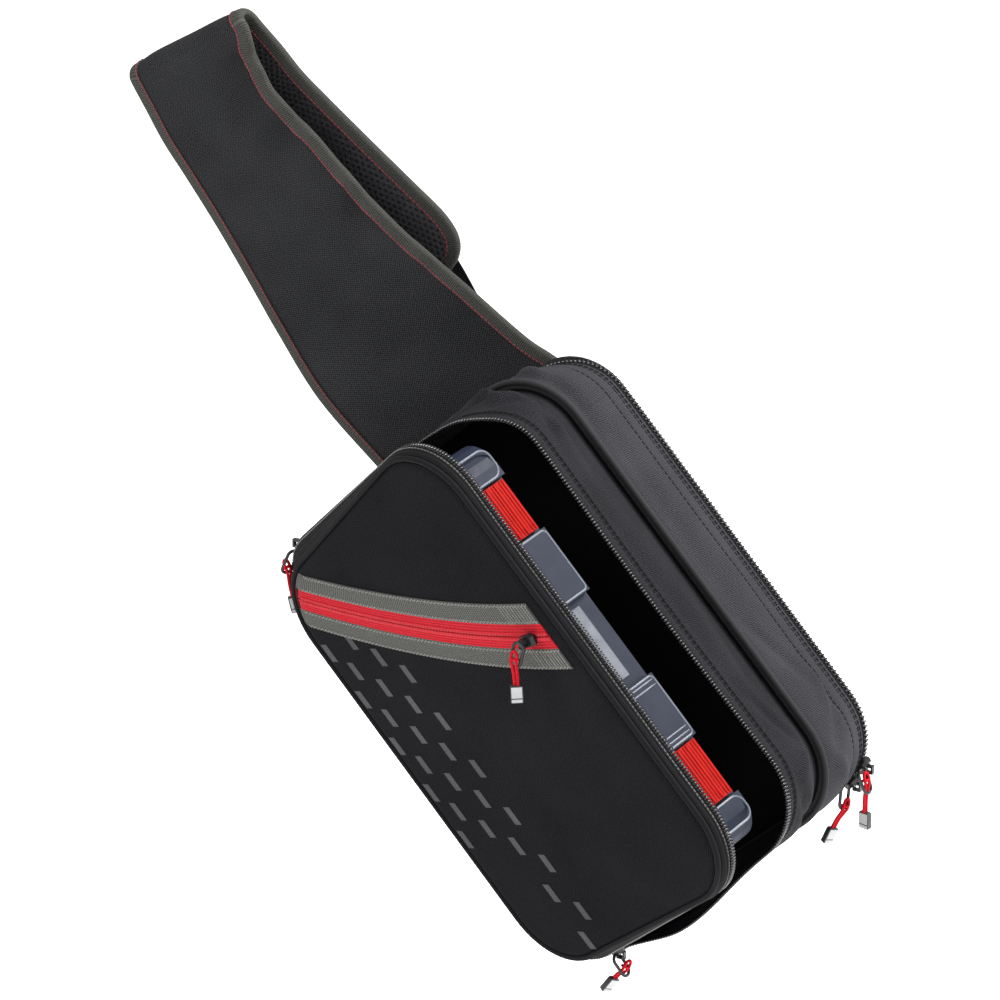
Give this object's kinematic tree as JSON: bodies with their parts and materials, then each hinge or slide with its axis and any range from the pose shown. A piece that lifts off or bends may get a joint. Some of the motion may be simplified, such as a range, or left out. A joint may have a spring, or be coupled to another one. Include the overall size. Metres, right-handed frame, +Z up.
{
  "type": "fishing tackle sling bag with a tackle box",
  "caption": "Padded sling bag worn on one shoulder, its zipped front door part open on a clear tackle box with red latches.",
  "frame": {"origin": "inside of the strap's fold, where the shoulder carries the bag", "axes": "+Z up as worn, the front door faces -Y and the wearer's back is on the +Y side, the bag's long side leans 43 degrees from +Z towards -X"},
  "size_m": [0.5385, 0.2346, 0.5707],
  "materials": {
    "black_cloth": "dense woven polyester, matt with a faint sheen",
    "charcoal_cloth": "smooth woven polyester, soft sheen",
    "black_lining": "plain black lining cloth",
    "black_mesh": "knitted spacer mesh with small holes",
    "black_piping": "corded piping, slight gloss",
    "black_zipper": "black coil teeth on woven tape",
    "grey_binding": "ribbed grosgrain, grey with a warm cast",
    "red_tape": "bright red woven zipper tape and coil",
    "red_stitch": "red sewing thread",
    "grey_print": "flat grey screen print on cloth",
    "black_webbing": "woven webbing",
    "black_plastic": "moulded, satin",
    "gunmetal": "black nickel plating",
    "red_cord": "braided cord",
    "tag_plastic": "light face in a black moulded body",
    "clear_plastic": "frosted clear polypropylene with whitish edges",
    "red_plastic": "ribbed red latch"
  },
  "bodies": {
    "root": {"main_gusset": "charcoal_cloth", "rear_gusset": "charcoal_cloth", "divider_panel": "black_lining", "body_piping": "black_piping", "body_zipper": "black_zipper", "rear_zipper": "black_zipper", "back_panel": "black_cloth", "hinge_strip": "charcoal_cloth", "door_panel": "black_cloth", "door_piping": "black_piping", "door_rim": "charcoal_cloth", "door_zipper": "black_zipper", "pocket_band_upper": "grey_binding", "pocket_band_lower": "grey_binding", "pocket_tape": "red_tape", "pocket_coil": "red_tape", "tackle_base": "clear_plastic", "tackle_lid": "clear_plastic", "latch_upper": "red_plastic", "latch_lower": "red_plastic", "strap_pad": "black_cloth", "strap_binding": "grey_binding", "strap_webbing": "black_webbing", "strap_adjuster": "black_plastic", "anchor_tab": "black_cloth", "slider_top": "gunmetal", "pull_top": "gunmetal", "pull_cord_top": "red_cord", "pull_tag_top": "tag_plastic", "slider_bottom": "gunmetal", "pull_bottom": "gunmetal", "pull_cord_bottom": "red_cord", "pull_tag_bottom": "tag_plastic", "slider_rear_a": "gunmetal", "pull_rear_a": "gunmetal", "pull_cord_rear_a": "red_cord", "pull_tag_rear_a": "tag_plastic", "slider_rear_b": "gunmetal", "pull_rear_b": "gunmetal", "pull_cord_rear_b": "red_cord", "pull_tag_rear_b": "tag_plastic", "slider_pocket": "gunmetal", "pull_pocket": "gunmetal", "pull_cord_pocket": "red_cord", "pull_tag_pocket": "tag_plastic"}
  },
  "joints": []
}
